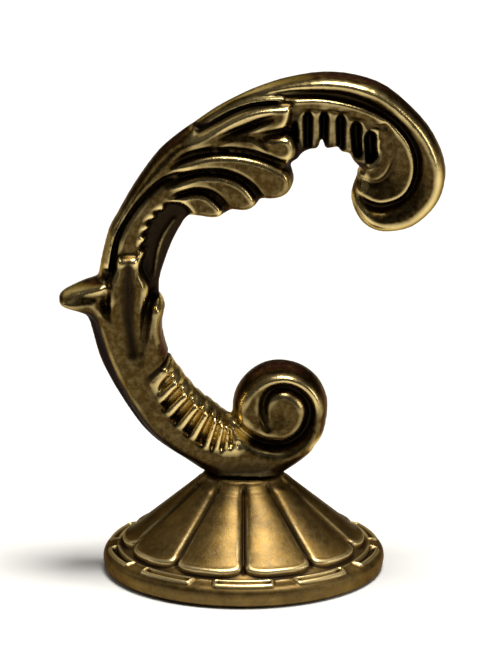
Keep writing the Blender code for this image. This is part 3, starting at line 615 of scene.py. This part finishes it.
COMB = [(6.2, 63.4), (14.0, 63.0), (17.6, 61.0), (18.0, 58.5), (16.0, 55.5), (9.0, 55.5), (6.2, 56.0)]
RIB_LINE = [(-10.1, 28.2), (-7.6, 25.0), (-5.0, 21.8), (-1.8, 19.6)]
FOLD_LINE = [(-15.25, 42.6), (-15.4, 39.0), (-15.3, 35.0), (-14.6, 30.6)]
THORN_LINE = [(-26.0, 37.8), (-21.5, 38.2), (-19.4, 38.2)]
THORN_TOP = [(-24.2, 38.5), (-21.5, 39.0), (-18.7, 39.4)]
WEB, CROWN_WEB = 1.6, 0.75  # half thickness where nothing is raised, and what is added at the crown
LEAST = 0.6  # least half thickness


def build_arm():
    """The arm: its relief on both sides of the parting plane, on a square spigot with a hole."""
    r = Relief()
    r.h[:] = WEB + CROWN_WEB * np.clip((r.x + 8) / 3, 0, 1) * (r.z > 50)
    limb(r)
    crown(r)
    leaf(r)
    calyx(r)
    off_rib = ribs(r)
    volute(r)
    outer = spline(OUTER, 3)
    inner = spline(INNER, 3)
    ring = np.concatenate([outer, inner])
    flange = np.clip((38.0 - r.z) / 3.0, 0, 1) * (r.x < 0)
    h = blurred(np.maximum(r.h, LEAST), 0.16)
    solid = inside(r.x, r.z, ring)
    d_out = np.abs(nearest(r.x, r.z, outer)[0])
    d_in = np.abs(nearest(r.x, r.z, inner)[0])
    # The gaps between the ribs run on over the inner face, as notches in the outline.
    rib_zone = r.zone(spline(RIB_LINE, 6), 3.3)
    notch = 0.5 * rib_zone * np.clip((off_rib - 0.55) / 0.55, 0, 1) * np.clip((1.9 - off_rib) / 0.3, 0, 1)
    d_in = np.where(solid, d_in - notch, d_in)
    solid = solid & (d_in > 0)
    d_in = np.abs(d_in)
    # How far the edges are rounded.
    foot = np.clip((16.5 - r.z) / 3.0, 0, 1)
    thorn_zone = r.zone(np.array(THORN_LINE), 1.9)
    reach_out = np.where(solid, 1.7 - 0.5 * flange + 2.6 * foot - 0.5 * thorn_zone, 1.7)
    reach_in = np.where(r.x > -2.0, 1.9, 1.2) * (r.z < 32) + 1.0 * (r.z >= 32) + 1.8 * foot
    shape = h * rounding(d_out, reach_out) * rounding(d_in, reach_in)
    relief = np.where(solid, shape, -np.maximum(shape, 0.05))

    def spread(field, sigma):
        cover = np.maximum(blurred(solid.astype(float), sigma), 0.15)
        return blurred(np.where(solid, field, 0), sigma) / cover

    # Darker: patina on low ground and beside anything higher; painted shade at the foot, in the comb
    # and in a strip along the flange's down-facing edge; darker along the fold and between the ribs.
    low = 0.7 * np.clip((2.6 - h) / 0.9, 0, 1) * (r.z > 20)
    low = low * np.where((r.x < -18.6) & (r.z < 40.5), 0.0, 1.0)
    # Painted shade at the foot, where the arm meets the neck.
    low = np.maximum(low, 0.6 * np.clip((16.6 - r.z) / 2.4, 0, 1))
    comb = inside(r.x, r.z, np.array(COMB)).astype(float)
    # Painted shade in the comb's slots.
    low = np.maximum(low, 0.58 * blurred(comb, 0.4))
    fold = spline(FOLD_LINE, 6)
    low = np.maximum(low, 0.75 * r.zone(fold, 0.75, 2))
    # Painted shade in a strip along the stem's down-facing lower-left edge.
    low = np.maximum(low, 0.85 * np.exp(-((d_out - 0.9) / 0.7) ** 4) * (r.z < 36.5) * (r.x < -4))
    hollow = np.clip(np.maximum((spread(h, 0.45) - h) / 0.45, (spread(h, 1.3) - h) / 1.25), low, 1)
    between = rib_zone * np.clip((off_rib - 0.85) / 0.3, 0, 1) * (off_rib < 1.9)
    hollow = blurred(np.where(solid, hollow, 0), 0.1) * (1 - 0.8 * rib_zone) * (1 - thorn_zone)
    hollow = np.maximum(hollow, 0.9 * blurred(between, 0.08))
    # Lighter: wear on what stands proud, wear and painted highlight on the ribs, and painted highlights along
    # the edges that are bright in the photograph.
    proud = np.clip((shape - blurred(np.where(solid, shape, 0), 1.3)) / 2.2 - 0.25, 0, 0.5)
    on_ribs = rib_zone * np.clip((1.0 - off_rib) / 0.35, 0, 1)
    # Painted highlights: bands on the crown roll, the coil and the thorn's top, where the overhead light's
    # reflection falls.
    crown_highlight = np.exp(-((d_out - 1.05) / 0.75) ** 2) * np.clip((r.x + 9) / 3, 0, 1) * (r.z > 44)
    coil_highlight = (np.exp(-((d_in - 1.3) / 0.8) ** 2) * (r.x > -1.0) * np.clip((r.z - 21) / 3, 0, 1)
                 * (r.z < 31))
    thorn_highlight = r.zone(np.array(THORN_TOP), 0.7, 2)
    proud = np.maximum.reduce([proud, 0.8 * on_ribs, 0.85 * crown_highlight, 0.8 * coil_highlight, 0.8 * thorn_highlight])
    # The ridge value: wear on crests, with the painted highlights above.
    ridge = np.clip((h - spread(h, 0.5)) / 0.35, proud, 1)
    ridge = ridge * (1 - 0.6 * r.zone(fold, 2.3) * np.clip((43.0 - r.z) / 0.6, 0, 1))
    # The skin of relief, foot, spigot and hole.
    coarse = relief[::SKIN_EVERY, ::SKIN_EVERY]
    xs, zs = r.xs[::SKIN_EVERY], r.zs[::SKIN_EVERY]
    step = xs[1] - xs[0]
    ys = np.arange(-HALF_DEPTH, HALF_DEPTH + step / 2, step)
    field = coarse[:, None, :] - np.abs(ys)[None, :, None]
    x3, y3, z3 = xs[:, None, None], ys[None, :, None], zs[None, None, :]
    field = np.minimum(field, z3 - NECK_Z)
    spigot = np.minimum(SPIGOT_HALF - np.maximum(np.abs(x3), np.abs(y3)),
                        np.minimum(z3 - SPIGOT_LOW, SPIGOT_HIGH - z3))
    field = np.maximum(field, spigot)
    hole = np.minimum(HOLE_RADIUS - np.sqrt(x3 ** 2 + y3 ** 2), HOLE_TOP - z3)
    field = np.minimum(field, -hole)
    points, quads = skin(field, np.array([xs[0], ys[0], zs[0]]), step)
    points = relaxed(points, quads, 2)
    # Patina and painted shade, wear and painted highlights, read off the grid at each point.
    i = np.clip((points[:, 0] - r.xs[0]) / CELL, 0, len(r.xs) - 1.001)
    k = np.clip((points[:, 2] - r.zs[0]) / CELL, 0, len(r.zs) - 1.001)
    i0, k0 = i.astype(int), k.astype(int)
    a, b = i - i0, k - k0

    def sample(grid):
        return ((1 - a) * (1 - b) * grid[i0, k0] + a * (1 - b) * grid[i0 + 1, k0]
                + (1 - a) * b * grid[i0, k0 + 1] + a * b * grid[i0 + 1, k0 + 1])

    values = {"hollow": sample(hollow), "ridge": sample(ridge)}
    # The arm's body colour is darker than the rosette's: partly its own tone, partly painted shade for front
    # faces that reflect little light.
    look = brass("antique_brass_arm", dark=(0.011, 0.006, 0.0025), body=(0.056, 0.031, 0.0046),
                 bright=(0.78, 0.60, 0.26), rough=0.31, mottle=0.45)
    mesh_piece("arm_casting", points, quads, "hook", ["scroll_arm"], look, values)


# -------------------------------------------------------------------- rosette

PETALS = 10
ROSETTE_ACROSS = 720  # points round the rosette
ROW = 0.14  # distance between the rosette's rows of points
SQUARE_HALF, SQUARE_CORNER = 3.7, 5.0  # the web's square hole, and how far out its corners reach


def eased(x):
    """0 below 0, 1 above 1, and a smooth step between."""
    x = np.clip(x, 0, 1)
    return x * x * (3 - 2 * x)


def build_rosette():
    """The petalled shell, as a lift off a turned profile, with its inside and its web."""
    theta = angles(ROSETTE_ACROSS)
    profile = spline([(5.0, 13.2), (5.3, 12.95), (5.55, 12.4), (6.1, 11.45), (7.0, 10.55), (9.0, 8.88),
                      (11.0, 7.22), (13.0, 5.57), (15.0, 3.95), (16.3, 3.1), (17.6, 2.7), (18.4, 2.45),
                      (18.85, 2.0), (18.98, 1.4), (18.98, 0.7), (18.88, 0.2), (18.6, 0.02)], 24)
    length = np.concatenate([[0], np.cumsum(np.hypot(*np.diff(profile, axis=0).T))])
    even = np.arange(0, length[-1], ROW)
    prof_r = np.interp(even, length, profile[:, 0])
    prof_z = np.interp(even, length, profile[:, 1])
    dr, dz = np.gradient(prof_r), np.gradient(prof_z)
    size = np.hypot(dr, dz)
    out_r, out_z = (-dz / size)[:, None], (dr / size)[:, None]
    R, Z = prof_r[:, None], prof_z[:, None]
    share = (theta[None, :] + math.pi / 2) / (2 * math.pi) * PETALS
    frac = share - np.floor(share)
    edge = R * (2 * math.pi / PETALS) * np.minimum(frac, 1 - frac)
    wide = np.abs(2 * frac - 1)

    # Petals: each a soft pillow that ends in a rounded lip over the rim band.
    end_r = 14.6 + 1.55 * np.sqrt(np.clip(1 - wide ** 2.8, 0, 1))
    on_petal = eased((end_r - R) / 0.45 + 0.5)
    lift = (0.42 + 0.38 * (1 - wide ** 2)) * on_petal * eased((R - 4.9) / 1.6)
    lift = lift + 0.12 * np.exp(-((end_r - R - 0.5) / 0.4) ** 2)
    lift = lift - 0.62 * np.exp(-(edge / 0.36) ** 1.4) * eased((15.9 - R) / 1.2) * eased((R - 5.2) / 0.8)
    # Rim band, and the framed slots on it joined by a thin bead.
    lift = lift + 0.10 * eased((R - 16.9) / 0.5) * eased((Z - 0.6) / 0.8)
    d_arc = edge - 3.75
    d_rad = np.abs(R - 17.55) - 0.50
    box = np.hypot(np.maximum(d_arc, 0), np.maximum(d_rad, 0)) + np.minimum(np.maximum(d_arc, d_rad), 0)
    upper = Z > 1.2
    lift = lift + 0.34 * np.sqrt(np.clip(1 - np.maximum(box, 0) / 0.42, 0, 1)) * upper
    lift = lift - 0.95 * eased(-(box + 0.05) / 0.22) * upper
    lift = lift + 0.22 * np.exp(-((R - 17.0) / 0.22) ** 2) * eased((edge - 3.9) / 0.5) * upper
    rows = [around(theta, R + lift * out_r, Z + lift * out_z)]
    # Inside of the shell, then the web with its square hole.
    inner = spline([(18.2, 0.0), (16.75, 0.0), (16.6, 0.5), (16.45, 1.4), (15.9, 2.35), (14.6, 3.0),
                    (12.0, 4.5), (9.0, 6.9), (6.6, 9.5), (6.2, 9.9)], 4)
    inner[:, 1] = np.maximum(inner[:, 1], 0)
    rows += [around(theta, r_in, z_in)[None] for r_in, z_in in inner]
    square = SQUARE_HALF / np.maximum(np.abs(np.cos(theta)), np.abs(np.sin(theta)))
    square = np.minimum(square, SQUARE_CORNER)
    rows += [around(theta, square, z_in)[None] for z_in in (9.9, 11.0, 12.2, 13.15)]
    grid = np.concatenate(rows)
    # Patina beside what is higher than its surroundings, wear on what stands over them.
    average = sum(np.roll(lift, shift, 1) for shift in range(-6, 7)) / 13
    padded = np.pad(average, ((5, 5), (0, 0)), mode="edge")
    average = sum(padded[shift:shift + len(lift)] for shift in range(11)) / 11
    hollow = np.clip((average - lift) / 0.34 + 0.08, 0, 1)
    ridge = np.clip((lift - average) / 0.20, 0, 1)
    rest = np.zeros((len(grid) - len(lift)) * ROSETTE_ACROSS)
    values = {"hollow": np.concatenate([hollow.ravel(), rest + 0.4]),
              "ridge": np.concatenate([ridge.ravel(), rest])}
    # The rosette's body colour is lighter than the arm's: partly its own tone, partly painted light for its
    # cone, which faces up to the light.
    look = brass("antique_brass_rosette", dark=(0.034, 0.020, 0.008), body=(0.18, 0.110, 0.029),
                 bright=(0.62, 0.48, 0.23), rough=0.47, mottle=0.75)
    mesh_piece("rosette_casting", grid.reshape(-1, 3), closed_faces(len(grid), ROSETTE_ACROSS), "hook",
               ["rosette"], look, values)


build_arm()
build_rosette()


# ------------------------------------------------------------------- hardware

def turned(name, rings, body, node, material, across=96):
    """A closed ring of profile points turned about Z; a radius may be a function of the angle."""
    theta = angles(across)
    grid = np.array([around(theta, radius(theta) if callable(radius) else radius, z) for radius, z in rings])
    mesh_piece(name, grid.reshape(-1, 3), closed_faces(len(rings), across), body, [node], material)


def dressed(node, material, round_off):
    """Keeps a CAD node's shape, with its edges eased and a finished surface."""
    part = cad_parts[node]
    part.data.materials.clear()
    part.data.materials.append(material)
    ease = part.modifiers.new("ease", "BEVEL")
    ease.width = round_off
    ease.segments = 2
    ease.limit_method = "ANGLE"
    ease.angle_limit = math.radians(40)


zinc = worn_metal("zinc_plated_steel", (0.42, 0.43, 0.45), (0.62, 0.63, 0.64), 0.36, 160.0)
dressed("wall_plate", zinc, 0.00015)
spring = worn_metal("spring_steel_dark", (0.10, 0.10, 0.11), (0.24, 0.24, 0.25), 0.34, 260.0)
dressed("push_washer", spring, 0.0001)
split = worn_metal("spring_steel_split", (0.20, 0.20, 0.21), (0.40, 0.40, 0.40), 0.32, 300.0)
dressed("lock_washer", split, 0.0001)
nylon = worn_metal("nylon_natural", (0.62, 0.60, 0.53), (0.74, 0.72, 0.66), 0.48, 220.0, metallic=0.0)
turned("nylon_washer", [(2.32, 6.98), (2.40, 6.91), (4.50, 6.91), (4.58, 6.98), (4.60, 7.08), (4.60, 7.52),
                        (4.58, 7.62), (4.50, 7.69), (2.40, 7.69), (2.32, 7.62), (2.30, 7.52), (2.30, 7.08)],
       "washer", "friction_washer", nylon)


def nut():
    """Hexagon nut with its corners turned off to a chamfer on both faces."""
    half_flats, low, high = 3.48, 3.41, 6.59  # half the width across flats, and the two faces

    def hexagon(limit):
        """A radius that follows the hexagon but stays within limit."""
        def radius(theta):
            turn = (theta + math.pi / 6) % (math.pi / 3) - math.pi / 6
            return np.minimum(half_flats / np.cos(turn), limit)
        return radius

    rings = [(2.05, low + 0.25), (2.35, low), (3.42, low), (hexagon(3.62), low + 0.07),
             (hexagon(3.84), low + 0.22), (hexagon(4.03), low + 0.42), (hexagon(4.03), high - 0.42),
             (hexagon(3.84), high - 0.22), (hexagon(3.62), high - 0.07), (3.42, high), (2.35, high),
             (2.05, high - 0.25)]
    plated = worn_metal("zinc_plated_nut", (0.46, 0.45, 0.40), (0.66, 0.64, 0.56), 0.34, 300.0)
    turned("hex_nut", rings, "wall_mount", "stud_nut", plated, across=144)


nut()


def stud():
    """Countersunk screw: a slotted head flush in the plate, then a thread up to a chamfered end."""
    across, pitch, low, high = 72, 0.7, 2.05, 15.9
    crest, depth = 1.98, 0.30  # radius over the thread, and how deep it is cut
    end_cap = 0.02  # how far the ends stay inside the CAD's
    slot_half, slot_depth = 0.42, 0.55
    theta = angles(across)
    box_low, box_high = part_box("centre_stud")
    foot, top = box_low[2] * 1000 + end_cap, box_high[2] * 1000 - end_cap
    head = ((0.0, foot), (1.2, foot), (2.4, foot), (3.55, foot), (3.72, foot + 0.1), (2.9, 1.0),
            (crest, low - 0.1))
    grid = [around(theta, radius, z) for radius, z in head]
    for z in np.arange(low, high, pitch / 10):
        phase = (z / pitch - theta / (2 * math.pi)) % 1.0
        tooth = np.clip(1.25 * np.abs(2 * phase - 1) - 0.12, 0, 1)
        fade = max(0.0, min(1.0, (z - low) / 0.7, (high - z) / 0.7))
        chamfer = 0.25 * max(0.0, 1 - (high - z) / 0.5)
        grid.append(around(theta, crest - depth * tooth * fade - chamfer, z))
    for radius, z in ((1.6, high + 0.05), (1.3, top), (0.6, top), (0.0, top)):
        grid.append(around(theta, radius, z))
    grid = np.array(grid)
    # The driver slot across the underside of the head.
    face = grid[1:4]
    face[..., 2] += np.where(np.abs(face[..., 1]) < slot_half, slot_depth, 0.0)
    a = np.arange(len(grid) * across).reshape(len(grid), across)
    nxt = np.roll(a, -1, axis=1)
    faces = [tuple(f) for f in np.stack([a[1:-2], nxt[1:-2], nxt[2:-1], a[2:-1]], -1).reshape(-1, 4).tolist()]
    points = grid.reshape(-1, 3)
    faces += [(0, int(nxt[1, i]), int(a[1, i])) for i in range(across)]
    last = len(points) - across
    faces += [(last, int(a[-2, i]), int(nxt[-2, i])) for i in range(across)]
    used = sorted({v for f in faces for v in f})
    order = {v: n for n, v in enumerate(used)}
    steel = worn_metal("bright_steel", (0.45, 0.45, 0.46), (0.70, 0.70, 0.70), 0.28, 400.0)
    mesh_piece("threaded_stud", points[used], [tuple(order[v] for v in f) for f in faces], "wall_mount",
               ["centre_stud"], steel)


stud()


# --------------------------------------------------------- floor, light, camera

def plain(name, colour, rough):
    made = bpy.data.materials.new(name)
    made.use_nodes = True
    shader = made.node_tree.nodes["Principled BSDF"]
    shader.inputs["Base Color"].default_value = (*colour, 1)
    shader.inputs["Roughness"].default_value = rough
    return made


floor_mesh = bpy.data.meshes.new("floor")
floor_mesh.from_pydata([(-3, -3, 0), (3, -3, 0), (3, 6, 0), (-3, 6, 0)], [], [(0, 1, 2, 3)])
floor_mesh.materials.append(plain("pale_floor", (0.82, 0.82, 0.81), 0.8))
floor = bpy.data.objects.new("floor", floor_mesh)
bpy.context.scene.collection.objects.link(floor)
floor.location.z = -0.0002


def area(name, place, target, size, power, colour):
    data = bpy.data.lights.new(name, "AREA")
    data.shape = "RECTANGLE"
    data.size, data.size_y = size
    data.energy = power
    data.color = colour
    lamp = bpy.data.objects.new(name, data)
    lamp.location = place
    aim = Vector(target) - Vector(place)
    lamp.rotation_euler = aim.to_track_quat("-Z", "Y").to_euler()
    bpy.context.scene.collection.objects.link(lamp)


area("overhead", (0.42, -0.05, 3.1), (0, 0, 0.03), (1.0, 1.15), 128.0, (1.0, 0.98, 0.94))
area("right_side", (1.5, -0.25, 0.62), (0, 0, 0.04), (0.4, 0.7), 5.0, (1.0, 0.96, 0.90))
area("back_panel", (-0.2, 1.8, 1.15), (0, 0, 0.04), (2.2, 0.9), 4.0, (1.0, 0.95, 0.86))
area("left_side", (-1.5, 0.5, 0.9), (0, 0, 0.04), (0.4, 0.6), 2.0, (1.0, 0.96, 0.90))

world = bpy.data.worlds.new("studio")
bpy.context.scene.world = world
world.use_nodes = True
world.node_tree.nodes["Background"].inputs["Color"].default_value = (1.0, 0.96, 0.90, 1)
world.node_tree.nodes["Background"].inputs["Strength"].default_value = 0.06

# The camera looks down about 15 degrees at the middle of the hook from 580 mm.
elevation = math.radians(15.1)
distance = 0.580
focus = Vector((0.001, 0.0, 0.0323))
camera_data = bpy.data.cameras.new("camera")
camera_data.sensor_fit = "VERTICAL"
camera_data.sensor_height = 24.0
camera_data.lens = 154.8757  # fills the frame as far as the photograph does
camera = bpy.data.objects.new("camera", camera_data)
camera.location = focus + Vector((0, -distance * math.cos(elevation), distance * math.sin(elevation)))
camera.rotation_euler = (math.pi / 2 - elevation, 0, 0)
bpy.context.scene.collection.objects.link(camera)
bpy.context.scene.camera = camera
bpy.context.scene.view_settings.view_transform = "Standard"
